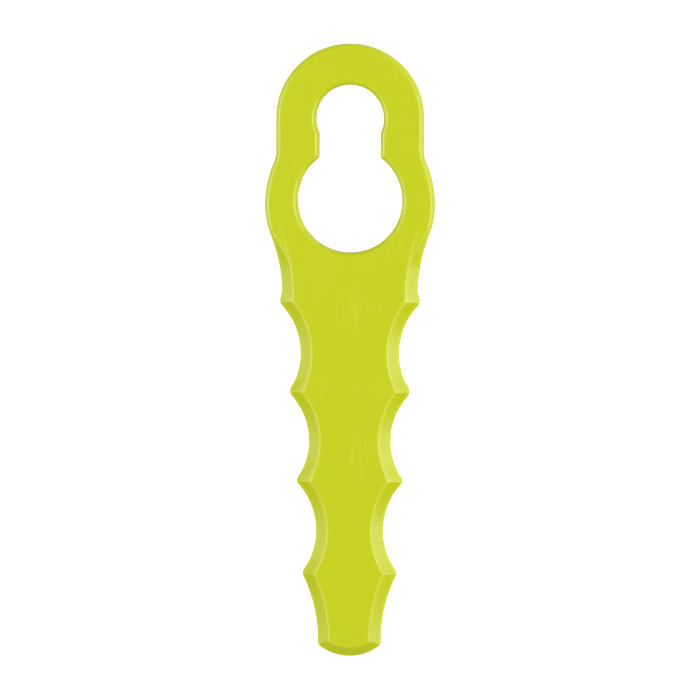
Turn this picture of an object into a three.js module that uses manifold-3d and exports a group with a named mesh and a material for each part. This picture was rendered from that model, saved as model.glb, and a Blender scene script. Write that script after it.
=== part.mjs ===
// Clip-on cutting blade for the head of a grass trimmer: one flat plastic moulding.
// The head is pierced by a keyhole, the body carries five hollow-ground scallops and four teeth a side.
// Units are millimetres. The blade lies flat on XY, head towards +Y, tip towards -Y, thickness along +Z.
// The origin is the centre of the footprint, on the underside.

import * as THREE from 'three';
import Module from 'manifold-3d';

const wasm = await Module();
wasm.setup();

// Overall size
const LENGTH = 88;
const THICKNESS = 3.2;
const EDGE_ROUND = 0.7;

// Keyhole: a small seat the trimmer's stud turns in, a large entry, and a neck between two snap nubs
const SEAT_RADIUS = 4.8;
const SEAT_Y = 33.25;
const ENTRY_RADIUS = 7.45;
const ENTRY_Y = 21.6;
const NECK_HALF_WIDTH = 4.35;

// Head and the lobe that carries the wall round the entry
const HEAD_RADIUS = 10.6;
const WAIST_RADIUS = 4;
const LOBE_HALF_WIDTH = 12.2;
const LOBE_Y = 20.9;
const LOBE_UPPER_RADIUS = 15.4;

// Scallops from head to tip on the +X side: centre, radius, then the tooth that closes each one.
// kinkY is where the arc hands over to the straight flank, crownY is where the tooth's facet stops.
const SCALLOPS = [
  { x: 33.15, y: 8.05, radius: 23.4, kinkY: 8.6, crownY: 7.0, flank: 14.5, nose: 1.3 },
  { x: 17.15, y: -0.35, radius: 10.05, kinkY: -4.3, crownY: -5.9, flank: 33, nose: 1.3 },
  { x: 15.55, y: -12.95, radius: 9.65, kinkY: -17.1, crownY: -18.75, flank: 30, nose: 0.7 },
  { x: 14.85, y: -25.85, radius: 10, kinkY: -30.3, crownY: -32.05, flank: 31, nose: 0.95 },
  { x: 26.05, y: -41.75, radius: 21.5 },
];

// Rounded end of the blade
const TIP_RADIUS = 7.05;
const TIP_CORNER_RADIUS = 0.6;

// Cutting bevels, alike on both faces
const BEVEL_WIDTH = 1.7;
const BEVEL_DROP = 1.15;
const TIP_BEVEL_WIDTH = 1.45;
const RUNOUT_X = 12;
const RUNOUT_Y = 18.8;
const RUNOUT_ANGLE = -30;
const RUNOUT_END_Y = 14.5;

const CHORD_ERROR = 0.008;
const CLEAR = 1;

const top = LENGTH / 2;
const radians = THREE.MathUtils.degToRad;

// Where two circles cross; side picks the crossing to the left (+1) or right (-1) of the line a -> b
function circlesMeet(a, radiusA, b, radiusB, side) {
  const across = b.clone().sub(a);
  const gap = across.length();
  const along = (gap * gap + radiusA * radiusA - radiusB * radiusB) / (2 * gap);
  const off = Math.sqrt(radiusA * radiusA - along * along);
  const unit = across.divideScalar(gap);
  return new THREE.Vector2(
    a.x + unit.x * along - unit.y * off * side,
    a.y + unit.y * along + unit.x * off * side,
  );
}

// Point at a given distance from one centre, on the line towards another
function towards(from, to, distance) {
  return to.clone().sub(from).setLength(distance).add(from);
}

// Arc about a centre between two points on it, the short way round, last point left out
function arc(centre, from, to) {
  const radius = from.distanceTo(centre);
  const start = Math.atan2(from.y - centre.y, from.x - centre.x);
  let sweep = Math.atan2(to.y - centre.y, to.x - centre.x) - start;
  sweep -= 2 * Math.PI * Math.round(sweep / (2 * Math.PI));
  const step = 2 * Math.acos(1 - CHORD_ERROR / radius);
  const count = Math.max(1, Math.ceil(Math.abs(sweep) / step));
  const points = [];
  for (let i = 0; i < count; i += 1) {
    const angle = start + (sweep * i) / count;
    points.push(new THREE.Vector2(centre.x + radius * Math.cos(angle), centre.y + radius * Math.sin(angle)));
  }
  return points;
}

// Right-hand half of the outline, from the crown of the head down to the tip
function rightEdge() {
  const points = [];
  const headCentre = new THREE.Vector2(0, top - HEAD_RADIUS);
  const crown = new THREE.Vector2(0, top);
  const cheek = new THREE.Vector2(HEAD_RADIUS, headCentre.y);
  points.push(...arc(headCentre, crown, cheek));
  points.push(cheek);

  const lobeUpper = new THREE.Vector2(LOBE_HALF_WIDTH - LOBE_UPPER_RADIUS, LOBE_Y);
  const waistX = HEAD_RADIUS + WAIST_RADIUS;
  const waistRise = Math.sqrt((LOBE_UPPER_RADIUS + WAIST_RADIUS) ** 2 - (waistX - lobeUpper.x) ** 2);
  const waist = new THREE.Vector2(waistX, LOBE_Y + waistRise);
  const waistTop = new THREE.Vector2(HEAD_RADIUS, waist.y);
  const waistEnd = towards(waist, lobeUpper, WAIST_RADIUS);
  const lobeSide = new THREE.Vector2(LOBE_HALF_WIDTH, LOBE_Y);
  points.push(...arc(waist, waistTop, waistEnd));
  points.push(...arc(lobeUpper, waistEnd, lobeSide));

  // The lower lobe arc is the one that leaves the lobe upright and runs smoothly into the first scallop
  const first = SCALLOPS[0];
  const firstCentre = new THREE.Vector2(first.x, first.y);
  const a = first.x - LOBE_HALF_WIDTH;
  const b = LOBE_Y - first.y;
  const lobeRadius = (a * a + b * b - first.radius ** 2) / (2 * (first.radius - a));
  const lobeLower = new THREE.Vector2(LOBE_HALF_WIDTH - lobeRadius, LOBE_Y);
  let start = towards(lobeLower, firstCentre, lobeRadius);
  points.push(...arc(lobeLower, lobeSide, start));

  for (let i = 0; i < SCALLOPS.length - 1; i += 1) {
    const scallop = SCALLOPS[i];
    const next = SCALLOPS[i + 1];
    const centre = new THREE.Vector2(scallop.x, scallop.y);
    const nextCentre = new THREE.Vector2(next.x, next.y);
    const kink = new THREE.Vector2(edgeX(scallop, scallop.kinkY, 0), scallop.kinkY);
    points.push(...arc(centre, start, kink));
    points.push(kink);

    // The nose circle touches the flank on one side and the next scallop on the other
    const down = new THREE.Vector2(Math.sin(radians(scallop.flank)), -Math.cos(radians(scallop.flank)));
    const out = new THREE.Vector2(-down.y, down.x);
    const reach = next.radius + scallop.nose;
    const from = kink.clone().addScaledVector(out, -scallop.nose).sub(nextCentre);
    const run = -from.dot(down) - Math.sqrt(from.dot(down) ** 2 - from.lengthSq() + reach * reach);
    const nose = from.addScaledVector(down, run).add(nextCentre);
    const noseStart = nose.clone().addScaledVector(out, scallop.nose);
    start = towards(nose, nextCentre, scallop.nose);
    points.push(...arc(nose, noseStart, start));
  }

  const last = SCALLOPS[SCALLOPS.length - 1];
  const lastCentre = new THREE.Vector2(last.x, last.y);
  const tipCentre = new THREE.Vector2(0, TIP_RADIUS - top);
  const corner = circlesMeet(
    tipCentre,
    TIP_RADIUS - TIP_CORNER_RADIUS,
    lastCentre,
    last.radius + TIP_CORNER_RADIUS,
    -1,
  );
  const cornerStart = towards(corner, lastCentre, TIP_CORNER_RADIUS);
  const cornerEnd = towards(tipCentre, corner, TIP_RADIUS);
  const tip = new THREE.Vector2(0, -top);
  points.push(...arc(lastCentre, start, cornerStart));
  points.push(...arc(corner, cornerStart, cornerEnd));
  points.push(...arc(tipCentre, cornerEnd, tip));
  points.push(tip);
  return points;
}

// Half-width of a scallop's arc at a height y, moved into the blade by inset
function edgeX(scallop, y, inset) {
  return scallop.x - Math.sqrt((scallop.radius + inset) ** 2 - (y - scallop.y) ** 2);
}

// Closed solid from rings of points with equal counts, each ring counter-clockwise seen from above
function ringSolid(rings) {
  const count = rings[0].length;
  const vertices = rings.flat().flatMap((p) => [p.x, p.y, p.z]);
  const triangles = [];
  for (let level = 0; level < rings.length - 1; level += 1) {
    for (let i = 0; i < count; i += 1) {
      const low = level * count;
      const high = low + count;
      const j = (i + 1) % count;
      triangles.push(low + i, low + j, high + j, low + i, high + j, high + i);
    }
  }
  const lastRing = (rings.length - 1) * count;
  const flat = (ring) => ring.map((p) => new THREE.Vector2(p.x, p.y));
  for (const [i, j, k] of THREE.ShapeUtils.triangulateShape(flat(rings[0]), [])) {
    triangles.push(i, k, j);
  }
  for (const [i, j, k] of THREE.ShapeUtils.triangulateShape(flat(rings[rings.length - 1]), [])) {
    triangles.push(lastRing + i, lastRing + j, lastRing + k);
  }
  return new wasm.Manifold(new wasm.Mesh({
    numProp: 3,
    vertProperties: new Float32Array(vertices),
    triVerts: new Uint32Array(triangles),
  }));
}

function lift(loop, z) {
  return loop.map((p) => new THREE.Vector3(p.x, p.y, z));
}

function circle(x, y, radius) {
  const count = Math.ceil(Math.PI / Math.acos(1 - CHORD_ERROR / radius));
  const points = [];
  for (let i = 0; i < count; i += 1) {
    const angle = (2 * Math.PI * i) / count;
    points.push(new THREE.Vector2(x + radius * Math.cos(angle), y + radius * Math.sin(angle)));
  }
  return points;
}

function rectangle(x0, x1, y0, y1) {
  return [
    new THREE.Vector2(x0, y0),
    new THREE.Vector2(x1, y0),
    new THREE.Vector2(x1, y1),
    new THREE.Vector2(x0, y1),
  ];
}

// Levels of a quarter-round edge on both faces: height, and how far the wall stands back from nominal
function roundLevels(steps) {
  const levels = [];
  for (let i = 0; i <= steps; i += 1) {
    const angle = (Math.PI / 2) * (i / steps);
    levels.push({ z: EDGE_ROUND * (1 - Math.cos(angle)), back: EDGE_ROUND * (1 - Math.sin(angle)) });
  }
  const upper = levels.map((level) => ({ z: THICKNESS - level.z, back: level.back })).reverse();
  return [...levels, ...upper];
}

// The blank: the outline drawn up through the thickness, its head and lobe rounded over at both faces
function blank() {
  const right = rightEdge();
  const left = right.slice(1, -1).map((p) => new THREE.Vector2(-p.x, p.y)).reverse();
  const loop = [...right, ...left].reverse();
  const count = loop.length;
  const inward = loop.map((p, i) => {
    const before = p.clone().sub(loop[(i + count - 1) % count]).normalize();
    const after = loop[(i + 1) % count].clone().sub(p).normalize();
    const mid = new THREE.Vector2(-before.y - after.y, before.x + after.x).normalize();
    const mitre = Math.sqrt((1 + before.dot(after)) / 2);
    const fade = THREE.MathUtils.clamp((p.y - RUNOUT_END_Y) / (RUNOUT_Y - RUNOUT_END_Y), 0, 1);
    return mid.multiplyScalar(fade / mitre);
  });
  const rings = roundLevels(4).map((level) => (
    lift(loop.map((p, i) => p.clone().addScaledVector(inward[i], level.back)), level.z)
  ));
  return ringSolid(rings);
}

// The keyhole cutter: seat, neck and entry, each flaring out to round the rim at both faces
function keyhole() {
  const levels = roundLevels(4);
  const shafts = [
    [{ z: -CLEAR, back: EDGE_ROUND }, ...levels, { z: THICKNESS + CLEAR, back: EDGE_ROUND }],
  ].flat();
  const seat = ringSolid(shafts.map((s) => lift(scaled(SEAT_RADIUS, SEAT_Y, s.back), s.z)));
  const entry = ringSolid(shafts.map((s) => lift(scaled(ENTRY_RADIUS, ENTRY_Y, s.back), s.z)));
  const neck = ringSolid(shafts.map((s) => (
    lift(rectangle(-NECK_HALF_WIDTH - s.back, NECK_HALF_WIDTH + s.back, ENTRY_Y, SEAT_Y), s.z)
  )));
  return seat.add(entry).add(neck);
}

// Circle of the nominal radius, its points pushed outwards so every level keeps the same count
function scaled(radius, y, extra) {
  const centre = new THREE.Vector2(0, y);
  return circle(0, y, radius).map((p) => towards(centre, p, radius + extra));
}

function slab(x0, x1, y0, y1) {
  const loop = rectangle(x0, x1, y0, y1);
  return ringSolid([lift(loop, 0), lift(loop, THICKNESS + 2 * CLEAR)]);
}

// Everything inside a circle whose radius is start at the top face and grows by slope per unit height
function cone(x, y, start, slope) {
  const low = -CLEAR;
  const high = THICKNESS + CLEAR;
  const unit = circle(x, y, start);
  const centre = new THREE.Vector2(x, y);
  const at = (z) => lift(unit.map((p) => towards(centre, p, start + slope * (z - THICKNESS))), z);
  return ringSolid([at(low), at(high)]);
}

// Everything above a plane that leaves the top face at a point and falls away along a heading
function ramp(x, y, heading, fall) {
  const out = new THREE.Vector2(Math.cos(radians(heading)), Math.sin(radians(heading)));
  const side = new THREE.Vector2(-out.y, out.x);
  const corner = (d, s) => new THREE.Vector2(x + out.x * d + side.x * s, y + out.y * d + side.y * s);
  const loop = [corner(-1, -20), corner(12, -20), corner(12, 20), corner(-1, 20)];
  const floor = loop.map((p, i) => {
    const d = i === 1 || i === 2 ? 12 : -1;
    return new THREE.Vector3(p.x, p.y, THICKNESS - fall * d);
  });
  return ringSolid([floor, lift(loop, THICKNESS + fall + CLEAR)]);
}

// Height of a scallop's bevel over a point between its arc and its inner line
function bevelZ(scallop, x, y) {
  const reach = Math.hypot(x - scallop.x, y - scallop.y) - scallop.radius;
  return THICKNESS - BEVEL_DROP + (BEVEL_DROP / BEVEL_WIDTH) * reach;
}

// Everything above the facet of a tooth. The facet leaves the top face along a straight inner line, and joins
// the bevel of the scallop above along the kink and that of the scallop below along the crown.
function facetCutter(scallop, next) {
  const [upper, lower] = [[scallop, scallop.kinkY], [next, scallop.crownY]].map(([owner, y]) => {
    const x = edgeX(owner, y, BEVEL_WIDTH);
    const drop = THICKNESS - bevelZ(owner, x + BEVEL_WIDTH, y);
    const inner = new THREE.Vector3(x, y, THICKNESS);
    const outer = new THREE.Vector3(x + 2 * BEVEL_WIDTH, y, THICKNESS - 2 * drop);
    return { inner, outer };
  });
  const floor = [lower.inner, lower.outer, upper.outer, upper.inner];
  return ringSolid([floor, lift(floor, THICKNESS + CLEAR)]);
}

// Everything the upper cutting edge of the +X side loses
function bevelCutter() {
  const fall = BEVEL_DROP / BEVEL_WIDTH;
  const cuts = SCALLOPS.map((scallop, i) => {
    const upper = i === 0 ? RUNOUT_Y + CLEAR : SCALLOPS[i - 1].crownY;
    const lower = i === SCALLOPS.length - 1 ? -top - CLEAR : scallop.kinkY;
    const hollow = cone(scallop.x, scallop.y, scallop.radius + BEVEL_WIDTH, 1 / fall);
    return hollow.intersect(slab(0, scallop.x, lower, upper));
  });
  cuts[0] = cuts[0].intersect(ramp(RUNOUT_X, RUNOUT_Y, RUNOUT_ANGLE, fall));
  const facets = SCALLOPS.slice(0, -1).map((scallop, i) => facetCutter(scallop, SCALLOPS[i + 1]));
  return [...cuts, ...facets].reduce((sum, cut) => sum.add(cut));
}

// The bevel round the tip: what lies outside a cone that narrows towards the top face
function tipCutter() {
  const span = SCALLOPS[0].radius;
  const core = cone(0, TIP_RADIUS - top, TIP_RADIUS - TIP_BEVEL_WIDTH, -TIP_BEVEL_WIDTH / BEVEL_DROP);
  return slab(-span, span, -top - CLEAR, TIP_RADIUS - top - 1.5).subtract(core);
}

// The same cutter turned over for the lower face
function turnedOver(solid) {
  return solid.translate([0, 0, -THICKNESS / 2]).mirror([0, 0, 1]).translate([0, 0, THICKNESS / 2]);
}

function toGeometry(solid) {
  const mesh = solid.getMesh();
  const geometry = new THREE.BufferGeometry();
  geometry.setAttribute('position', new THREE.BufferAttribute(mesh.vertProperties, 3));
  geometry.setIndex(new THREE.BufferAttribute(mesh.triVerts, 1));
  return geometry;
}

const side = bevelCutter();
const upperCut = side.add(side.mirror([1, 0, 0])).add(tipCutter());
const blade = blank().subtract(keyhole()).subtract(upperCut).subtract(turnedOver(upperCut));

const group = new THREE.Group();
group.name = 'trimmer_blade';
const plastic = new THREE.MeshStandardMaterial({ color: 0xc8d121, roughness: 0.42, metalness: 0 });
const mesh = new THREE.Mesh(toGeometry(blade), plastic);
mesh.name = 'cutting_blade';
group.add(mesh);

export default group;
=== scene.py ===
# %% [markdown]
# # A clip-on cutting blade for a grass trimmer
#
# The object is one flat plastic moulding, 88 mm long and about 3 mm thick. A keyhole in its round head
# clips onto a stud, five hollow scallops run down each long edge, and the teeth between them do the
# cutting.
#
# A plate like this could be drawn as a curve, extruded and given a Bevel modifier. A Bevel modifier rounds
# every edge by one radius, though, and here the head has a soft round rim, the scallops have a wide
# straight bevel, and the one runs out into the other. So the skin is worked out with numpy instead: the
# outline is a chain of arcs, and a cross-section that changes slowly is carried along it.

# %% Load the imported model
from math import atan2, cos, degrees, pi, radians, sin, sqrt

import bmesh
import bpy
import numpy as np
from mathutils import Matrix, Vector
from mathutils.bvhtree import BVHTree


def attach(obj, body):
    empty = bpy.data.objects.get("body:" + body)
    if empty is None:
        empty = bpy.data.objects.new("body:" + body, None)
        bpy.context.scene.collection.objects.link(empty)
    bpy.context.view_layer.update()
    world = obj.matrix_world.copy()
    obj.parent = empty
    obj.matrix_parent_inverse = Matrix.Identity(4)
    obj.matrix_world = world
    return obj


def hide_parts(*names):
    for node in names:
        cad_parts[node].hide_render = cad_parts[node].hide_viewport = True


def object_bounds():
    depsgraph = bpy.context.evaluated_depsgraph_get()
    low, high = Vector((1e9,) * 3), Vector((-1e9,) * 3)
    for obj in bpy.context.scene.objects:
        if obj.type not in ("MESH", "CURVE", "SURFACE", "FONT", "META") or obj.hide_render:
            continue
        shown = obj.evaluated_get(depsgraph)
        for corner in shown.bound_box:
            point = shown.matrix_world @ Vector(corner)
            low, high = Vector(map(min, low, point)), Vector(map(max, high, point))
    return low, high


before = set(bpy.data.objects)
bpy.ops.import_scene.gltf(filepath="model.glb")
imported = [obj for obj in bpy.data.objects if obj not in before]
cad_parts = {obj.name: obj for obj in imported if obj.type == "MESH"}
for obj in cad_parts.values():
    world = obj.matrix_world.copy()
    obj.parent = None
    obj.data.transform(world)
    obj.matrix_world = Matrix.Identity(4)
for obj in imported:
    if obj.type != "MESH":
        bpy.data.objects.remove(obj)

NODE = "cutting_blade"
cad_box = [list(map(float, corner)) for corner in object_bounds()]
low, high = (np.array(corner) for corner in cad_box)
THICKNESS = high[2]
print("CAD box in mm:", np.round((high - low) * 1000, 2))

# %% [markdown]
# ## The driving sizes
#
# The frame gives the overall length, width and thickness. The rest are the moulding's own radii and
# centres, in millimetres turned into metres, with Y along the blade and the head at +Y.
#
# Each scallop is a circle that bites into the edge. `kink` is the height where the bite hands over to the
# straight flank of a tooth, `crown` the height where the tooth's blunt facet ends, `flank` the slope of
# that flank in degrees, and `nose` the radius of the tooth's point.

# %% Driving sizes
MM = 0.001
HEAD_RADIUS = 10.6 * MM
WAIST_RADIUS = 4.0 * MM
LOBE_Y, LOBE_UPPER_RADIUS = 20.9 * MM, 15.4 * MM
SEAT_Y, SEAT_RADIUS = 33.25 * MM, 4.8 * MM
ENTRY_Y, ENTRY_RADIUS = 21.6 * MM, 7.45 * MM
NECK_HALF_WIDTH = 4.35 * MM
TIP_RADIUS, TIP_CORNER = 7.05 * MM, 0.6 * MM

BEVEL_WIDTH, BEVEL_DROP = 1.7 * MM, 1.15 * MM
BEVEL_FALL = BEVEL_DROP / BEVEL_WIDTH
TIP_BEVEL_WIDTH = 1.45 * MM
BAND_WIDTH = 2.0 * MM
RUNOUT, RUNOUT_HEADING, RUNOUT_END_Y = np.array([12.0, 18.8]) * MM, radians(-30), 14.5 * MM
RIM_ROUND, ARRIS_ROUND = 0.7 * MM, 0.12 * MM


class Scallop:
    """One circular bite out of the edge, and the tooth below it."""

    def __init__(self, x, y, radius, kink=0, crown=0, flank=0, nose=0):
        self.centre, self.radius = np.array([x, y]) * MM, radius * MM
        self.kink, self.crown, self.nose = kink * MM, crown * MM, nose * MM
        self.down = np.array([sin(radians(flank)), -cos(radians(flank))])

    def edge(self, y, inset):
        """Point of the edge at height y, moved into the blade: x is the centre's x, less the leg of the right
        triangle whose hypotenuse is radius plus inset."""
        x = self.centre[0] - np.sqrt((self.radius + inset) ** 2 - (y - self.centre[1]) ** 2)
        return np.stack([x, y + 0 * x], axis=-1)


SCALLOPS = [
    Scallop(33.15, 8.05, 23.4, kink=8.6, crown=7.0, flank=14.5, nose=1.3),
    Scallop(17.15, -0.35, 10.05, kink=-4.3, crown=-5.9, flank=33, nose=1.3),
    Scallop(15.55, -12.95, 9.65, kink=-17.1, crown=-18.75, flank=30, nose=0.7),
    Scallop(14.85, -25.85, 10.0, kink=-30.3, crown=-32.05, flank=31, nose=0.95),
    Scallop(26.05, -41.75, 21.5),
]
first, last = SCALLOPS[0], SCALLOPS[-1]
HEAD_CENTRE = np.array([0, high[1] - HEAD_RADIUS])
TIP_CENTRE = np.array([0, low[1] + TIP_RADIUS])
bevel_slope = degrees(atan2(BEVEL_DROP, BEVEL_WIDTH))
print("scallops a side:", len(SCALLOPS), " bevel in degrees:", round(bevel_slope, 1))

# %% [markdown]
# ## Arcs and lines
#
# Every curve of the blade is a run of arcs and straight lines. A small class holds such a run as closely
# spaced points with their outward directions, so that it can be read at any fraction of its length.

# %% Curve helpers


def heading(centre, point):
    """Angle of the line from one point to another."""
    return atan2(point[1] - centre[1], point[0] - centre[0])


def on_arc(centre, radius, start, end, t):
    """Centre plus radius times (cos, sin) of the angle, which goes the short way from start to end."""
    sweep = (end - start + pi) % (2 * pi) - pi
    angle = start + sweep * np.asarray(t)
    return np.asarray(centre) + radius * np.stack([np.cos(angle), np.sin(angle)], axis=-1)


def circles_meet(a, radius_a, b, radius_b, side):
    """Where two circles cross. Along the line of centres the crossing is at
    (gap^2 + ra^2 - rb^2) / (2 gap), and off that line by what is left of ra, to the side asked for."""
    line = b - a
    gap = np.hypot(*line)
    along = (gap**2 + radius_a**2 - radius_b**2) / (2 * gap)
    off = side * sqrt(radius_a**2 - along**2)
    return a + (line * along + np.array([-line[1], line[0]]) * off) / gap


class Chain:
    """A run of arcs and lines. normal points out of the plastic."""

    def __init__(self):
        self.points, self.normals = np.zeros((0, 2)), np.zeros((0, 2))

    def add(self, points, normals):
        self.points = np.concatenate([self.points, points])
        self.normals = np.concatenate([self.normals, np.broadcast_to(normals, points.shape)])
        return self

    def arc(self, centre, radius, start, end, outwards=1):
        """outwards is +1 where the plastic is inside the circle, -1 where the circle bites into it."""
        points = on_arc(centre, radius, start, end, np.linspace(0, 1, 240))
        return self.add(points, outwards * (points - centre) / radius)

    def line(self, start, end, normal):
        return self.add(start + (end - start) * np.linspace(0, 1, 40)[:, None], normal)

    def lengths(self):
        return np.concatenate([[0], np.cumsum(np.hypot(*np.diff(self.points, axis=0).T) + 1e-12)])

    def at_length(self, s):
        """Point and outward direction at distances along the chain, read off by linear interpolation."""
        along = self.lengths()
        point, normal = (
            np.stack([np.interp(s, along, values[:, axis]) for axis in (0, 1)], axis=-1)
            for values in (self.points, self.normals)
        )
        return point, normal / np.hypot(*normal.T)[:, None]

    def length_at_height(self, y):
        return np.interp(-y, -self.points[:, 1], self.lengths())


def graded(length, coarse, fine_start=True, fine_end=True):
    """Fractions 0 to 1. From each fine end the gaps start at 0.04 mm and grow by 1.35 until they reach
    coarse; equal gaps fill the middle."""
    fine, growth = 0.04 * MM, 1.35
    ramp = fine * growth ** np.arange(int(np.log(coarse / fine) / np.log(growth)))
    start, end = ramp[: len(ramp) * fine_start], ramp[::-1][: len(ramp) * fine_end]
    rest = length - start.sum() - end.sum()
    count = max(1, int(np.ceil(rest / coarse)))
    gaps = np.concatenate([start, np.full(count, max(rest / count, fine)), end])
    return np.concatenate([[0], np.cumsum(gaps)]) / gaps.sum()


# %% [markdown]
# ## The outline
#
# The +X half of the outline, in the order a pencil would draw it: round the head, in at the waist, out over
# the lobe that carries the keyhole's wall, then scallop and tooth by turns, a small corner and the round
# tip.
#
# Where one arc should run smoothly into the next, its centre is solved for, so nothing has to be nudged by
# hand.

# %% Outline of the +X half
lobe_upper = np.array([high[0] - LOBE_UPPER_RADIUS, LOBE_Y])
waist_x = HEAD_RADIUS + WAIST_RADIUS
waist_rise = sqrt((LOBE_UPPER_RADIUS + WAIST_RADIUS) ** 2 - (waist_x - lobe_upper[0]) ** 2)
waist = np.array([waist_x, LOBE_Y + waist_rise])

run, rise = first.centre[0] - high[0], LOBE_Y - first.centre[1]
lobe_lower_radius = (run**2 + rise**2 - first.radius**2) / (2 * (first.radius - run))
lobe_lower = np.array([high[0] - lobe_lower_radius, LOBE_Y])

head = Chain()
head.arc(HEAD_CENTRE, HEAD_RADIUS, pi / 2, 0)
head.line(HEAD_CENTRE + [HEAD_RADIUS, 0], waist - [WAIST_RADIUS, 0], [1, 0])
head.arc(waist, WAIST_RADIUS, pi, heading(waist, lobe_upper), -1)
head.arc(lobe_upper, LOBE_UPPER_RADIUS, heading(lobe_upper, waist), 0)
head.arc(lobe_lower, lobe_lower_radius, 0, heading(lobe_lower, first.centre))

# The scallop band starts a little way down the first scallop, level with the end of the head's web
WEB_END_Y = 12.0 * MM
web_end = heading(first.centre, first.edge(WEB_END_Y, BAND_WIDTH))
head.arc(first.centre, first.radius, heading(first.centre, lobe_lower), web_end, -1)

sides = []
start_angle = web_end
for upper, lower in zip(SCALLOPS, SCALLOPS[1:]):
    kink = upper.edge(upper.kink, 0)
    sides.append(Chain().arc(upper.centre, upper.radius, start_angle, heading(upper.centre, kink), -1))
    # The nose circle touches the flank on one side and the next scallop on the other
    out = np.array([-upper.down[1], upper.down[0]])
    gap = kink - out * upper.nose - lower.centre
    reach = lower.radius + upper.nose
    slide = -gap @ upper.down - sqrt((gap @ upper.down) ** 2 - gap @ gap + reach**2)
    nose = gap + upper.down * slide + lower.centre
    tooth = Chain().line(kink, nose + out * upper.nose, out)
    tooth.arc(nose, upper.nose, heading([0, 0], out), heading(nose, lower.centre))
    sides.append(tooth)
    start_angle = heading(lower.centre, nose)

corner = circles_meet(TIP_CENTRE, TIP_RADIUS - TIP_CORNER, last.centre, last.radius + TIP_CORNER, -1)
corner_start, corner_end = heading(corner, last.centre), heading(TIP_CENTRE, corner)
corner_middle = corner_start + ((corner_end - corner_start + pi) % (2 * pi) - pi) / 2
sides.append(Chain().arc(last.centre, last.radius, start_angle, heading(last.centre, corner), -1))
sides[-1].arc(corner, TIP_CORNER, corner_start, corner_middle)
tip = Chain().arc(corner, TIP_CORNER, corner_middle, corner_end)
tip.arc(TIP_CENTRE, TIP_RADIUS, corner_end, -pi / 2)

flanks = Chain()
for chain in sides:
    flanks.add(chain.points, chain.normals)
outline_length = 2 * (head.lengths()[-1] + flanks.lengths()[-1] + tip.lengths()[-1])
widest = head.points[:, 0].max()
print("outline in mm:", round(outline_length / MM, 1), " widest at x =", round(widest / MM, 2))

# %% [markdown]
# ## The height of the upper face
#
# The bevels could be sliced out with Booleans, but a Boolean leaves knife-sharp arrises, and moulded
# plastic has none. Here the face is a height over every point of the plan instead: the lower of the flat
# face and the cuts. Taking a *smooth* minimum rounds each crease by a chosen amount.

# %% Height function


def smooth_min(a, b, k):
    """The lower of two heights. Where they differ by less than k, it dips below by up to k / 4."""
    h = np.clip(1 - np.abs(a - b) / k, 0, 1)
    return np.minimum(a, b) - h * h * k / 4


def smoothstep(t):
    """0 below 0, 1 above 1, and 3 t^2 - 2 t^3 between."""
    t = np.clip(t, 0, 1)
    return t * t * (3 - 2 * t)


def hollow(scallop, p):
    """Cone about the scallop's centre: it meets the edge BEVEL_DROP down and rises by BEVEL_FALL per unit."""
    return THICKNESS - BEVEL_DROP + BEVEL_FALL * (np.hypot(*(p - scallop.centre).T).T - scallop.radius)


def runout(p):
    """Plane that leaves the flat face on a line through the run-out's start and falls along its heading."""
    return THICKNESS - BEVEL_FALL * ((p - RUNOUT) @ np.array([cos(RUNOUT_HEADING), sin(RUNOUT_HEADING)]))


def facet(upper, lower, p):
    """Tooth facet, a warped plane: its inner line and its fall per unit of x both change evenly from the
    kink's row to the crown's, so it joins the bevel above and the bevel below."""
    rows = [(upper, upper.kink), (lower, upper.crown)]
    inner = [owner.edge(y, BEVEL_WIDTH) for owner, y in rows]
    fall = [(THICKNESS - hollow(rows[i][0], inner[i] + [BEVEL_WIDTH, 0])) / BEVEL_WIDTH for i in (0, 1)]
    t = np.clip((upper.kink - p[:, 1]) / (upper.kink - upper.crown), 0, 1)
    start = inner[0][0] + (inner[1][0] - inner[0][0]) * t
    return THICKNESS - (fall[0] + (fall[1] - fall[0]) * t) * (p[:, 0] - start)


def height(p):
    """Height of the upper face over plan points p, an array whose last axis is (x, y). Down the blade the
    cut is each scallop's cone and each tooth's facet by turns, handed over within 0.1 mm of the crease at
    the kink and within 0.3 mm of the blunter ridge at the crown."""
    shape, p = p.shape[:-1], p.reshape(-1, 2)
    y, at_kink, at_crown = p[:, 1], 0.1 * MM, 0.3 * MM
    cut = -smooth_min(-hollow(first, p), -runout(p), 0.2 * MM)
    for upper, lower in zip(SCALLOPS, SCALLOPS[1:]):
        cut += (facet(upper, lower, p) - cut) * smoothstep((upper.kink - y) / (2 * at_kink) + 0.5)
        cut += (hollow(lower, p) - cut) * smoothstep((upper.crown - y) / (2 * at_crown) + 0.5)
    reach = np.hypot(*(p - TIP_CENTRE).T) - TIP_RADIUS + TIP_BEVEL_WIDTH
    tip_cut = THICKNESS - BEVEL_DROP / TIP_BEVEL_WIDTH * reach
    cut = np.where(y < TIP_CENTRE[1], smooth_min(cut, tip_cut, 0.12 * MM), cut)
    return smooth_min(cut, THICKNESS, 0.1 * MM).reshape(shape)


probe = np.stack([first.edge(9.5 * MM, inset * MM) for inset in (0.0, 0.85, 1.7, 2.0)])
print("face height across a bevel, mm:", np.round(height(probe) / MM, 3))

# %% [markdown]
# ## Keyhole stations
#
# The keyhole is a small seat, a neck with a snap nub on each side, and a large entry. Its rim is the same
# drawing made a little larger for each row, so one function of the enlargement gives every row. The nubs'
# corners have a small radius, because a sharp one would break off in use.

# %% Keyhole loop
NUB_CORNER = 0.45 * MM
COLUMNS = 14


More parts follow.
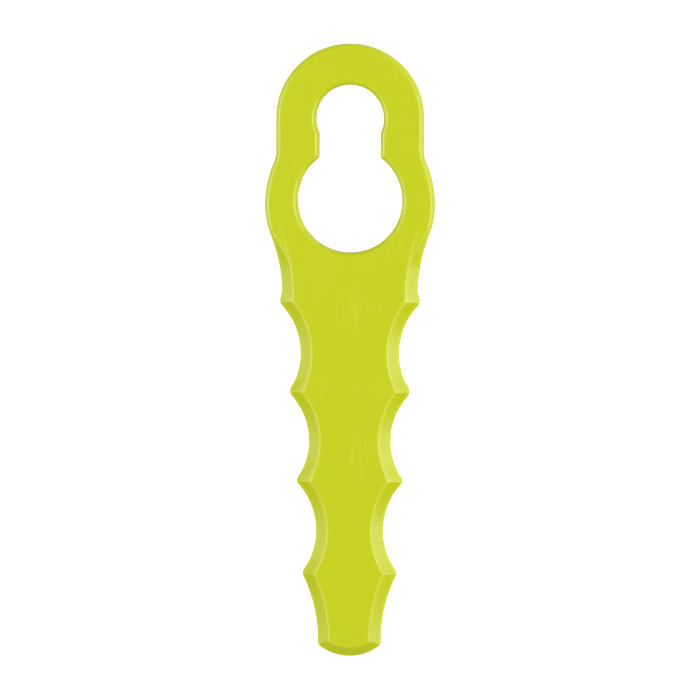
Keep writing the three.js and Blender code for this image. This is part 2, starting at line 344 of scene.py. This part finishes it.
def keyhole(grow):
    """+X half of the keyhole, top to bottom, with every radius and the neck made larger by grow. Each nub
    corner is a circle that touches the neck's line and the round on either side of it."""
    seat, entry = np.array([0, SEAT_Y]), np.array([0, ENTRY_Y])
    seat_radius, entry_radius = SEAT_RADIUS + grow, ENTRY_RADIUS + grow
    neck = NECK_HALF_WIDTH + grow
    x = neck + NUB_CORNER
    upper = np.array([x, SEAT_Y - sqrt((seat_radius + NUB_CORNER) ** 2 - x**2)])
    lower = np.array([x, ENTRY_Y + sqrt((entry_radius + NUB_CORNER) ** 2 - x**2)])
    t = lambda count: np.arange(count) / count
    web_turn = radians(-52)
    return np.concatenate([
        on_arc(seat, seat_radius, pi / 2, heading(seat, upper), t(44)),
        on_arc(upper, NUB_CORNER, heading(upper, seat), pi, t(6)),
        np.array([neck, upper[1]]) + np.outer(t(14), [0, lower[1] - upper[1]]),
        on_arc(lower, NUB_CORNER, pi, heading(lower, entry), t(10)),
        on_arc(entry, entry_radius, heading(entry, lower), 0, t(34)),
        on_arc(entry, entry_radius, 0, web_turn, t(56)),
        on_arc(entry, entry_radius, web_turn, -pi / 2, np.linspace(0, 1, COLUMNS + 1)),
    ])


hole = keyhole(0)
print("keyhole stations:", len(hole), " half-width of the neck in mm:", round(hole[60, 0] / MM, 2))

# %% [markdown]
# ## Rim stations
#
# Each station of the rim is a short ruling from the outer edge, across the bevel's inner line, to a line
# where the flat is certain. Round the head the rulings stand square to the edge. At the creases of the
# teeth they lie level, because the mould was cut one scallop at a time, so the crease is one clean row of
# the mesh.
#
# The head's stations are matched to the keyhole's, so that the web between the two is a plain ruled grid.

# %% Rim stations
rim_count = len(hole) - COLUMNS
# Between the first and last, three keyhole stations are held level with a height on the rim: the middles of
# the two nub corners and the widest point of the entry
HELD_STATIONS = [47, 69, 108]
HELD_HEIGHTS = [30.9 * MM, 26.9 * MM, LOBE_Y]
held_lengths = [head.length_at_height(y) for y in HELD_HEIGHTS]
stations = np.interp(
    np.arange(rim_count), [0, *HELD_STATIONS, rim_count - 1], [0, *held_lengths, head.lengths()[-1]]
)
edge_points, edge_normals = head.at_length(stations)
edge_line = [edge_points]
bevel_line = [edge_points - edge_normals * BEVEL_WIDTH]
band_line = [edge_points - edge_normals * BAND_WIDTH]


def add_panel(edge, bevel, band):
    """Joins a panel's three lines on, leaving out the station that it shares with the panel before."""
    for line, part in ((edge_line, edge), (bevel_line, bevel), (band_line, band)):
        line.append(part[1:])


COARSE = 0.26 * MM
arc_chain, kink = sides[0], first.edge(first.kink, 0)
t = graded(arc_chain.lengths()[-1], COARSE, fine_start=False)
inner = []
for inset in (BEVEL_WIDTH, BAND_WIDTH):
    kink_heading = heading(first.centre, first.edge(first.kink, inset))
    inner.append(on_arc(first.centre, first.radius + inset, web_end, kink_heading, t))
add_panel(arc_chain.at_length(t * arc_chain.lengths()[-1])[0], *inner)

for upper, lower in zip(SCALLOPS, SCALLOPS[1:]):
    # The tooth's facet: level rulings from kink to crown, with straight inner lines
    t = graded(upper.kink - upper.crown, COARSE)
    y = upper.kink + (upper.crown - upper.kink) * t
    edge = flanks.at_length(flanks.length_at_height(y))[0]
    inner = []
    for inset in (BEVEL_WIDTH, BAND_WIDTH):
        above, below = upper.edge(upper.kink, inset), lower.edge(upper.crown, inset)
        inner.append(above + np.outer(t, below - above))
    add_panel(edge, *inner)
    # The next scallop: level rulings down to its kink, or for the last one down to the tip's corner
    if lower is not last:
        t = graded(upper.crown - lower.kink, COARSE)
        y = upper.crown + (lower.kink - upper.crown) * t
        edge = flanks.at_length(flanks.length_at_height(y))[0]
        add_panel(edge, lower.edge(y, BEVEL_WIDTH), lower.edge(y, BAND_WIDTH))

start, end = flanks.length_at_height(SCALLOPS[-2].crown), flanks.lengths()[-1]
t = graded(end - start, COARSE)
mitres = []
for inset in (BEVEL_WIDTH, BAND_WIDTH):
    tip_line_radius = TIP_RADIUS - TIP_BEVEL_WIDTH * inset / BEVEL_WIDTH
    mitres.append(circles_meet(TIP_CENTRE, tip_line_radius, last.centre, last.radius + inset, -1))
inner = [
    on_arc(
        last.centre, last.radius + inset,
        heading(last.centre, last.edge(SCALLOPS[-2].crown, inset)), heading(last.centre, mitre), t,
    )
    for inset, mitre in zip((BEVEL_WIDTH, BAND_WIDTH), mitres)
]
add_panel(flanks.at_length(start + (end - start) * t)[0], *inner)
side_count = sum(map(len, edge_line))

# Round the tip the stations share the columns of the flat sheet, closer together at the corner
t = np.linspace(0, 1, COLUMNS + 1) ** 1.5
inner = [
    on_arc(TIP_CENTRE, np.hypot(*(mitre - TIP_CENTRE)), heading(TIP_CENTRE, mitre), -pi / 2, t)
    for mitre in mitres
]
add_panel(tip.at_length(t * tip.lengths()[-1])[0], *inner)

edge_line, bevel_line, band_line = map(np.concatenate, (edge_line, bevel_line, band_line))
ruling = np.hypot(*(bevel_line - edge_line).T) / MM
shortest, longest = round(ruling.min(), 2), round(ruling.max(), 2)
print("rim stations:", len(edge_line), " rulings from", shortest, "to", longest, "mm")

# %% [markdown]
# ## The cross-section, carried round the rim
#
# From the parting plane outwards the section is: a hair of flash where the two mould halves met, a wall
# with one degree of draft so that the part can leave the mould, a round, the bevel, and the crease into the
# flat face. The round is a generous 0.7 mm on the head, where a finger presses, and tightens to 0.12 mm on
# the cutting part.
#
# Only the upper face is drawn. The lower one is its mirror image, because both halves of the mould are
# alike.

# %% Rim surface
MIDDLE = THICKNESS / 2
DRAFT, FLASH = radians(1), 0.02 * MM
wall = np.array([0, 0.07, 0.16, 0.32, 0.64, 1])[:, None]
turn = np.radians(np.linspace(0, 90, 9)[1:])[:, None]


def set_back(rise):
    """How far the wall stands back from the parting line: the flash fades out over 0.12 mm, then draft."""
    return FLASH * smoothstep(rise / (0.12 * MM)) + np.tan(DRAFT) * rise


def ruled(inset):
    """Plan points at an inset from the edge: along each ruling to the bevel's line, then to the band's."""
    inset = inset[..., None]
    outer = edge_line + (bevel_line - edge_line) * np.minimum(inset, BEVEL_WIDTH) / BEVEL_WIDTH
    past_bevel = np.clip((inset - BEVEL_WIDTH) / (BAND_WIDTH - BEVEL_WIDTH), 0, 1)
    return outer + (band_line - bevel_line) * past_bevel


def lifted(plan, z):
    return np.concatenate([plan, np.broadcast_to(z, plan.shape[:-1])[..., None]], axis=-1)


fade = smoothstep((edge_line[:, 1] - RUNOUT_END_Y) / (RUNOUT[1] - RUNOUT_END_Y))
rounding = ARRIS_ROUND + (RIM_ROUND - ARRIS_ROUND) * fade
brow = set_back(height(edge_line) - rounding - MIDDLE)
wall_top = height(ruled(brow)) - rounding - MIDDLE
wall_rise = wall * wall_top
wall_inset = set_back(wall_rise) + wall * (brow - set_back(wall_top))
round_inset = brow + rounding * (1 - np.cos(turn))
slope_inset = (brow + rounding) + np.linspace(0, 1, 6)[1:, None] * (1.54 * MM - brow - rounding)
crease_inset = np.array([1.60, 1.65, 1.70, 1.75, 1.80, 1.87, 2.0])[:, None] * MM + 0 * brow

inset = np.concatenate([wall_inset, round_inset, slope_inset, crease_inset])
plan = ruled(inset)
z = height(plan)
z[: len(wall)] = MIDDLE + wall_rise
z[len(wall) : len(wall) + len(turn)] -= rounding * (1 - np.sin(turn))
rim_surface = lifted(plan, z)
print("rim grid:", rim_surface.shape[:2], " edge land in mm:", round(2 * float(wall_top.min()) / MM, 2))

# %% [markdown]
# ## Keyhole wall, web and blade
#
# The keyhole's rim is rounded like the head's. Between it and the outer rim lies the flat web, ruled from
# one loop to the other. Below the web the blade is a sheet of level rows that shares its columns with the
# tip.

# %% Keyhole, web and blade surfaces
rise = wall[:, 0] * (MIDDLE - RIM_ROUND)
bore = np.concatenate([set_back(rise), set_back(rise[-1]) + RIM_ROUND * (1 - np.cos(turn[:, 0])), [1.0 * MM]])
bore_z = np.concatenate([MIDDLE + rise, THICKNESS - RIM_ROUND * (1 - np.sin(turn[:, 0])), [THICKNESS]])
keyhole_surface = lifted(np.stack([keyhole(grow) for grow in bore]), bore_z[:, None])

tip_band = band_line[-COLUMNS - 1 :]
columns = tip_band[:, 0] / tip_band[0, 0]


def level_rows(ends):
    """Rows of points from each end straight across to the centre line, spaced like the tip's columns."""
    x = ends[:, 0, None] * columns
    return np.stack([x, ends[:, 1, None] + 0 * x], axis=-1)


web_end_row = level_rows(band_line[rim_count - 1 : rim_count])[0]
web_outside = np.concatenate([band_line[: rim_count - 1], web_end_row])
web_inside = keyhole_surface[-1, :, :2]
across = np.linspace(0, 1, 7)[:, None, None]
web_surface = lifted(web_inside + (web_outside - web_inside) * across, THICKNESS)

blade_surface = lifted(level_rows(band_line[rim_count - 1 : side_count]), THICKNESS)
chord = level_rows(band_line[side_count - 1 : side_count])[0]
tip_surface = lifted(chord + (tip_band - chord) * np.linspace(0, 1, 4)[:, None, None], THICKNESS)
surfaces = [rim_surface, keyhole_surface, web_surface, blade_surface, tip_surface]
for name, surface in zip(("rim", "keyhole", "web", "blade", "tip"), surfaces):
    print(f"{name:8} {surface.shape[0]:3} x {surface.shape[1]:3} points")

# %% [markdown]
# ## One closed skin
#
# The quarter is mirrored left to right and top to bottom. Mirroring turns faces inside out, so the doubles
# along the seams are merged first and then the normals are recalculated on the closed skin.
#
# One attribute goes in with the points: `arris`, which is 1 along the creases and edge rounds and 0
# elsewhere.
# The finish reads it later to paint a pale highlight along these lines, where rounded creases catch the
# light.

# %% Build the moulding


def quads(rows, cols, first_index):
    """Corner numbers of every cell of a grid, as an array of four columns."""
    index = first_index + np.arange(rows * cols).reshape(rows, cols)
    return np.stack([index[:-1, :-1], index[:-1, 1:], index[1:, 1:], index[1:, :-1]], axis=-1).reshape(-1, 4)


def bell(x, width):
    return np.exp(-((x / width) ** 2))


# Masks of the painted highlight: along the bevel's inner crease on the cutting part, and along the edge round
# all the way round, fainter on the head.
cutting = 1 - fade
crease = bell(inset - BEVEL_WIDTH, 0.16 * MM) * cutting
edge_highlight = bell(inset - (brow + rounding * 0.4), 0.10 * MM + 0.5 * rounding) * (0.35 + 0.65 * cutting)
rim_arris = np.maximum(crease, edge_highlight)
arris = [rim_arris] + [np.zeros(surface.shape[:2]) for surface in surfaces[1:]]
# A fainter painted highlight along the keyhole's rounded rim.
arris[1] += 0.35 * bell(bore[:, None] - 0.25 * MM, 0.4 * MM)

points = np.concatenate([surface.reshape(-1, 3) for surface in surfaces])
marks = np.concatenate([mask.ravel() for mask in arris])
offsets = np.cumsum([0] + [surface.shape[0] * surface.shape[1] for surface in surfaces])
cells = np.concatenate([quads(*s.shape[:2], offset) for s, offset in zip(surfaces, offsets)])

mirrored = [points * [sx, 1, sz] + [0, 0, THICKNESS * (sz < 0)] for sx in (1, -1) for sz in (1, -1)]
all_cells = np.concatenate([cells + len(points) * i for i in range(4)])
mesh = bpy.data.meshes.new("blade_moulding")
mesh.from_pydata(np.concatenate(mirrored), [], all_cells)
mesh.attributes.new("arris", "FLOAT", "POINT").data.foreach_set("value", np.tile(marks, 4).astype(np.float32))

bm = bmesh.new()
bm.from_mesh(mesh)
bmesh.ops.remove_doubles(bm, verts=bm.verts, dist=2e-6)
bmesh.ops.dissolve_degenerate(bm, edges=bm.edges, dist=1e-7)
bmesh.ops.recalc_face_normals(bm, faces=bm.faces)
open_edges = sum(not edge.is_manifold for edge in bm.edges)
volume = bm.calc_volume(signed=True)
bm.to_mesh(mesh)
bm.free()
mesh.shade_smooth()

moulding = bpy.data.objects.new("blade_moulding", mesh)
bpy.context.scene.collection.objects.link(moulding)
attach(moulding, "root")
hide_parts(NODE)
triangles = sum(len(face.vertices) - 2 for face in mesh.polygons)
print("triangles:", triangles, " open edges:", open_edges, " volume in mm3:", round(volume * 1e9))

# %% [markdown]
# ## Does it still fit the frame?
#
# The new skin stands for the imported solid, so it must lie on it. A search tree of each mesh gives the
# distance from every point of the other to its surface. Both ways are needed: a part of the solid that the
# skin leaves out shows only when it is measured from the solid.

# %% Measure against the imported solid


def coordinates(of_mesh):
    flat = np.zeros(len(of_mesh.vertices) * 3)
    of_mesh.vertices.foreach_get("co", flat)
    return flat.reshape(-1, 3)


def report_distances(label, from_mesh, to_mesh):
    """Prints the mean and the greatest distance from one mesh's points to the other's surface, and where."""
    faces = [tuple(face.vertices) for face in to_mesh.polygons]
    surface = BVHTree.FromPolygons([vertex.co for vertex in to_mesh.vertices], faces)
    places = coordinates(from_mesh)
    distances = np.array([surface.find_nearest(place)[3] for place in places])
    mean, most = round(distances.mean() / MM, 3), round(distances.max() / MM, 3)
    print(label, "mm: mean", mean, " most", most, " at", np.round(places[distances.argmax()] / MM, 1))


cad_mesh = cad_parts[NODE].data
report_distances("skin to packed solid,", mesh, cad_mesh)
report_distances("packed solid to skin,", cad_mesh, mesh)
skin = coordinates(mesh)
print("skin box in mm:", np.round((skin.max(0) - skin.min(0)) / MM, 3))

# %% [markdown]
# ## The finish: satin moulded nylon
#
# The blade is lime-coloured nylon, coloured all through, so the real part carries no paint. What the eye
# reads as
# plastic is small: a fine spark-eroded grain from the mould, slow drifts of tone where the melt flowed and a
# few hairline scuffs. A painted highlight makes the creases and edge rounds a little paler on top of these.
#
# These are made as small node groups with named inputs, so that each can be tried alone. They read Object
# coordinates, which are metres here, so a noise scale of 1000 means a pattern about a millimetre across.

# %% Node group helpers


def new_group(name, inputs, outputs):
    """A shader node group with float or colour sockets; each is a (name, kind, default) triple."""
    group = bpy.data.node_groups.new(name, "ShaderNodeTree")
    for in_out, sockets in (("INPUT", inputs), ("OUTPUT", outputs)):
        for socket_name, kind, default in sockets:
            socket = group.interface.new_socket(socket_name, in_out=in_out, socket_type="NodeSocket" + kind)
            if default is not None:
                socket.default_value = default
    return group, group.nodes.new("NodeGroupInput"), group.nodes.new("NodeGroupOutput")


def node(tree, kind, **settings):
    """Adds a node. A setting named after a socket sets that socket, from a value or from another socket."""
    made = tree.nodes.new("ShaderNode" + kind)
    for name, value in settings.items():
        if hasattr(made, name) and name not in made.inputs:
            setattr(made, name, value)
            continue
        socket = made.inputs[int(name[1:])] if name[0] == "_" else made.inputs[name.replace("_", " ")]
        if isinstance(value, bpy.types.NodeSocket):
            tree.links.new(value, socket)
        else:
            socket.default_value = value
    return made


def math(tree, operation, *values, clamp=False):
    made = node(tree, "Math", operation=operation, use_clamp=clamp)
    for socket, value in zip(made.inputs, values):
        if isinstance(value, bpy.types.NodeSocket):
            tree.links.new(value, socket)
        else:
            socket.default_value = value
    return made.outputs[0]


def remap(tree, value, from_low, from_high, to_low=0.0, to_high=1.0):
    made = node(tree, "MapRange", interpolation_type="SMOOTHSTEP", Value=value)
    limits = {"From Min": from_low, "From Max": from_high, "To Min": to_low, "To Max": to_high}
    for name, number in limits.items():
        made.inputs[name].default_value = number
    return made.outputs["Result"]


# %% [markdown]
# **Moulded grain.** Spark erosion leaves the steel with fine overlapping craters, and the plastic copies
# them. Noise does for the craters and smooth Voronoi cells for the pits between them. A much larger,
# shallower wave stands for the way a flat moulding draws in slightly as it cools, which bends reflections
# softly.

# %% Grain group
grain_group, grain_in, grain_out = new_group(
    "moulded_grain", [("Place", "Vector", None), ("Coarseness", "Float", 1.0)], [("Height", "Float", None)]
)
CRATERS, PITS, WAVES = 5200.0, 2600.0, 130.0
grain_place = grain_in.outputs["Place"]
craters = node(grain_group, "TexNoise", Vector=grain_place, Scale=CRATERS, Detail=2.0, Roughness=0.6)
pits = node(grain_group, "TexVoronoi", Vector=grain_place, Scale=PITS, feature="SMOOTH_F1")
draw_in = node(grain_group, "TexNoise", Vector=grain_place, Scale=WAVES, Detail=1.0)
fine = math(grain_group, "MULTIPLY_ADD", pits.outputs["Distance"], 0.5, craters.outputs["Fac"])
fine = math(grain_group, "MULTIPLY", fine, grain_in.outputs["Coarseness"])
total = math(grain_group, "MULTIPLY_ADD", draw_in.outputs["Fac"], 9.0, fine)
grain_group.links.new(total, grain_out.inputs["Height"])
print("craters, pits and draw-in waves in mm:", [round(1000 / scale, 2) for scale in (CRATERS, PITS, WAVES)])

# %% [markdown]
# **Flow tone.** Pigment never spreads quite evenly: the melt runs in at one place and its front cools
# first. Noise stretched along the blade, a few per cent strong, gives slow streaks that follow the flow.

# %% Flow tone group
tone_group, tone_in, tone_out = new_group(
    "flow_tone", [("Place", "Vector", None), ("Strength", "Float", 1.0)], [("Tone", "Float", None)]
)
along_flow = node(tone_group, "Mapping", Vector=tone_in.outputs["Place"], Scale=(1.0, 0.28, 1.0))
streaks = node(tone_group, "TexNoise", Vector=along_flow.outputs[0], Scale=330.0, Detail=3.0, Distortion=0.4)
clouds = node(tone_group, "TexNoise", Vector=tone_in.outputs["Place"], Scale=90.0, Detail=2.0)
both = math(tone_group, "ADD", streaks.outputs["Fac"], clouds.outputs["Fac"])
centred = math(tone_group, "SUBTRACT", both, 1.0)
scaled = math(tone_group, "MULTIPLY", centred, tone_in.outputs["Strength"])
tone_group.links.new(scaled, tone_out.inputs["Tone"])

# %% [markdown]
# **Scuffs.** Blades are sold loose in a bag and rub against each other, which leaves short faint hairlines
# in all directions and dulls small patches. The hairlines are thin level lines of stretched noise, kept
# only where a second, broader noise is high, so that they come in patches.

# %% Scuff group
scuff_group, scuff_in, scuff_out = new_group(
    "handling_scuffs", [("Place", "Vector", None), ("Amount", "Float", 1.0)], [("Mask", "Float", None)]
)
scuff_lines = []
for turned, stretch in ((0.5, 0.055), (-0.9, 0.075)):
    laid = node(
        scuff_group, "Mapping",
        Vector=scuff_in.outputs["Place"], Rotation=(0.0, 0.0, turned), Scale=(1.0, stretch, 1.0),
    )
    line_noise = node(scuff_group, "TexNoise", Vector=laid.outputs[0], Scale=900.0, Detail=0.0)
    distance = math(scuff_group, "ABSOLUTE", math(scuff_group, "SUBTRACT", line_noise.outputs["Fac"], 0.5))
    scuff_lines.append(remap(scuff_group, distance, 0.0, 0.012, 1.0, 0.0))
patch_noise = node(scuff_group, "TexNoise", Vector=scuff_in.outputs["Place"], Scale=210.0, Detail=2.0)
patches = remap(scuff_group, patch_noise.outputs["Fac"], 0.54, 0.70)
lines = math(scuff_group, "MAXIMUM", *scuff_lines)
mask = math(scuff_group, "MULTIPLY", lines, patches)
mask = math(scuff_group, "MULTIPLY", mask, scuff_in.outputs["Amount"])
scuff_group.links.new(mask, scuff_out.inputs["Mask"])

# %% [markdown]
# **Specks.** Where the melt front ends, down towards the tip, a few specks of dark pigment and tiny pits
# are left. Voronoi cells give one dot each. A random value of each cell's own picks the few that show, and
# a ramp along the blade fades them out towards the head.

# %% Speck group
speck_group, speck_in, speck_out = new_group(
    "melt_specks", [("Place", "Vector", None), ("Amount", "Float", 1.0)], [("Mask", "Float", None)]
)
dots = node(speck_group, "TexVoronoi", Vector=speck_in.outputs["Place"], Scale=560.0, Randomness=1.0)
dot = remap(speck_group, dots.outputs["Distance"], 0.05, 0.13, 1.0, 0.0)
chosen = node(speck_group, "SeparateColor", Color=dots.outputs["Color"])
few = remap(speck_group, chosen.outputs[0], 0.52, 0.60)
along = node(speck_group, "SeparateXYZ", Vector=speck_in.outputs["Place"])
near_tip = remap(speck_group, along.outputs["Y"], -0.040, -0.012, 1.0, 0.12)
speck_mask = math(speck_group, "MULTIPLY", math(speck_group, "MULTIPLY", dot, few), near_tip)
speck_mask = math(speck_group, "MULTIPLY", speck_mask, speck_in.outputs["Amount"])
speck_group.links.new(speck_mask, speck_out.inputs["Mask"])

# %% [markdown]
# ** The plastic.** The colour is a saturated lime with almost no blue. Scuffs are a little paler and rougher. The
# arrises are a little rougher too, and paler from a painted highlight laid along the creases and edge rounds.
# A trace of light scatters inside nylon, so the thin edges glow slightly instead of going black on the shaded
# side.

# %% Blade plastic
plastic = bpy.data.materials.new("blade_plastic")
plastic.use_nodes = True
tree = plastic.node_tree
shader = tree.nodes["Principled BSDF"]
place = node(tree, "TexCoord").outputs["Object"]


def placed(group, **values):
    made = node(tree, "Group", node_tree=group)
    tree.links.new(place, made.inputs["Place"])
    for name, value in values.items():
        made.inputs[name].default_value = value
    return made.outputs[0]


grain = placed(grain_group, Coarseness=1.0)
tone = placed(tone_group, Strength=0.22)
scuffs = placed(scuff_group, Amount=1.0)
specks = placed(speck_group, Amount=1.0)
# The arris mask: where a pale highlight is painted into the colour, and where the surface is a little
# rougher.
arris_highlight = node(tree, "Attribute", attribute_name="arris").outputs["Fac"]

LIME, LIME_DEEP, LIME_PALE = (0.445, 0.495, 0.002, 1), (0.390, 0.436, 0.001, 1), (0.57, 0.62, 0.06, 1)
depth = math(tree, "ADD", math(tree, "MULTIPLY_ADD", specks, 1.6, tone), 0.12, clamp=True)
flow = node(tree, "Mix", data_type="RGBA", _0=depth, _6=LIME, _7=LIME_DEEP)
# Painted highlight: the arris mask pales the colour towards LIME_PALE. Scuffs pale it too, as real wear.
highlight_paling, scuff_paling = math(tree, "MULTIPLY", arris_highlight, 0.30), math(tree, "MULTIPLY", scuffs, 0.22)
paling = math(tree, "ADD", highlight_paling, scuff_paling, clamp=True)
colour = node(tree, "Mix", data_type="RGBA", _0=paling, _6=flow.outputs[2], _7=LIME_PALE)
tree.links.new(colour.outputs[2], shader.inputs["Base Color"])

dulled = math(tree, "MULTIPLY_ADD", scuffs, 0.15, 0.34)
dulled = math(tree, "MULTIPLY_ADD", tone, 0.25, dulled)
tree.links.new(math(tree, "MULTIPLY_ADD", arris_highlight, 0.10, dulled), shader.inputs["Roughness"])
relief = math(tree, "MULTIPLY_ADD", scuffs, -0.35, grain)
bump = node(tree, "Bump", Strength=0.30, Distance=0.00001, Height=relief)
tree.links.new(bump.outputs["Normal"], shader.inputs["Normal"])
shader.inputs["IOR"].default_value = 1.53
shader.inputs["Specular IOR Level"].default_value = 0.4
shader.inputs["Subsurface Weight"].default_value = 0.12
shader.inputs["Subsurface Radius"].default_value = (0.9, 0.9, 0.08)
shader.inputs["Subsurface Scale"].default_value = 0.0008
mesh.materials.append(plastic)
print("nodes in the plastic:", len(tree.nodes))

# %% [markdown]
# ## Floor
#
# The blade lies on a plain pale sheet with a faint paper tooth. On a product table such a sheet is lit
# through from below until its shadows are gone. Here that lift is given to camera rays alone, so that it
# clears the shadows without throwing more light back at the bevels.

# %% Floor
FLOOR_HALF = 4.0
corners = np.array([[-1, -1], [1, -1], [1, 1], [-1, 1]]) * FLOOR_HALF
floor_mesh = bpy.data.meshes.new("floor")
floor_mesh.from_pydata(lifted(corners, -0.02 * MM), [], [(0, 1, 2, 3)])
floor = bpy.data.objects.new("floor", floor_mesh)
bpy.context.scene.collection.objects.link(floor)

paper = bpy.data.materials.new("pale_paper")
paper.use_nodes = True
paper_tree = paper.node_tree
paper_shader = paper_tree.nodes["Principled BSDF"]
tooth_place = node(paper_tree, "TexCoord").outputs["Object"]
tooth = node(paper_tree, "TexNoise", Vector=tooth_place, Scale=900.0, Detail=3.0)
paper_colour = node(paper_tree, "Mix", data_type="RGBA", _0=tooth.outputs["Fac"])
paper_colour.inputs[6].default_value = (0.89, 0.89, 0.89, 1)
paper_colour.inputs[7].default_value = (0.91, 0.91, 0.91, 1)
paper_tree.links.new(paper_colour.outputs[2], paper_shader.inputs["Base Color"])
paper_shader.inputs["Roughness"].default_value = 0.9
paper_shader.inputs["Specular IOR Level"].default_value = 0.1
seen = node(paper_tree, "LightPath").outputs["Is Camera Ray"]
paper_tree.links.new(paper_colour.outputs[2], paper_shader.inputs["Emission Color"])
paper_tree.links.new(math(paper_tree, "MULTIPLY", seen, 0.85), paper_shader.inputs["Emission Strength"])
floor_mesh.materials.append(paper)

# %% [markdown]
# ## Light
#
# Product light for a flat satin part. Broad soft boxes stand low on both sides and towards the head, so
# that the bevels catch them, and two more stand higher and light the flat face evenly. Nothing hangs
# straight above, where the flat face would mirror it into the lens and wash the colour out. The right side
# gets more than the left, and the tip's end least, which is what models the bevels. The studio's walls look
# white to the camera and give the blade almost nothing.

# %% Lights


def soft_box(name, bearing, elevation, distance, power):
    """A square area light that faces the middle of the blade, placed by bearing (0 is +X, 90 is the head's
    end) and elevation in degrees."""
    turn, lift = radians(bearing), radians(elevation)
    position = Vector((cos(lift) * cos(turn), cos(lift) * sin(turn), sin(lift))) * distance
    light = bpy.data.lights.new(name, "AREA")
    light.shape, light.size, light.energy = "SQUARE", 0.40, power
    lamp = bpy.data.objects.new(name, light)
    lamp.location = position
    lamp.rotation_euler = (-position).to_track_quat("-Z", "Y").to_euler()
    bpy.context.scene.collection.objects.link(lamp)


soft_box("right_low", 0, 23, 0.68, 1.5)
soft_box("upper_right_low", 40, 23, 0.68, 1.15)
soft_box("left_low", 180, 23, 0.68, 1.1)
soft_box("right_high", 0, 52, 0.78, 4.2)
soft_box("left_high", 180, 52, 0.78, 4.5)

world = bpy.data.worlds.new("studio")
world.use_nodes = True
backdrop = world.node_tree.nodes["Background"]
backdrop.inputs["Color"].default_value = (1, 1, 1, 1)
sky_seen = node(world.node_tree, "LightPath").outputs["Is Camera Ray"]
sky_strength = math(world.node_tree, "MULTIPLY_ADD", sky_seen, 0.98, 0.02)
world.node_tree.links.new(sky_strength, backdrop.inputs["Strength"])
bpy.context.scene.world = world

# %% [markdown]
# ## Camera
#
# A long lens, almost straight above the flat face and leaning slightly towards the head and the right, so
# that a sliver of the far walls shows. The blade's axis runs up the frame.

# %% Camera and finish
DISTANCE, FRAME_WIDTH = 0.75, 100.3 * MM
LEAN_RIGHT, LEAN_UP, ROLL = radians(3.5), radians(4), radians(0.10)
target = Vector((0.02 * MM, 0.12 * MM, MIDDLE))

camera_data = bpy.data.cameras.new("camera")
camera_data.sensor_width = 36
camera_data.lens = 36 * DISTANCE / FRAME_WIDTH
camera_data.clip_start, camera_data.clip_end = 0.01, 10
camera = bpy.data.objects.new("camera", camera_data)
away = Vector((np.tan(LEAN_RIGHT), np.tan(LEAN_UP), 1)).normalized()
camera.location = target + away * DISTANCE
right = Vector((0, 1, 0)).cross(away).normalized()
upright = Matrix((right, away.cross(right), away)).transposed()
camera.rotation_euler = (upright @ Matrix.Rotation(ROLL, 3, "Z")).to_euler()
bpy.context.scene.collection.objects.link(camera)
bpy.context.scene.camera = camera
bpy.context.scene.view_settings.view_transform = "Standard"
leans = [round(degrees(lean), 1) for lean in (LEAN_RIGHT, LEAN_UP)]
print("lens in mm:", round(camera_data.lens), " leans in degrees:", leans)
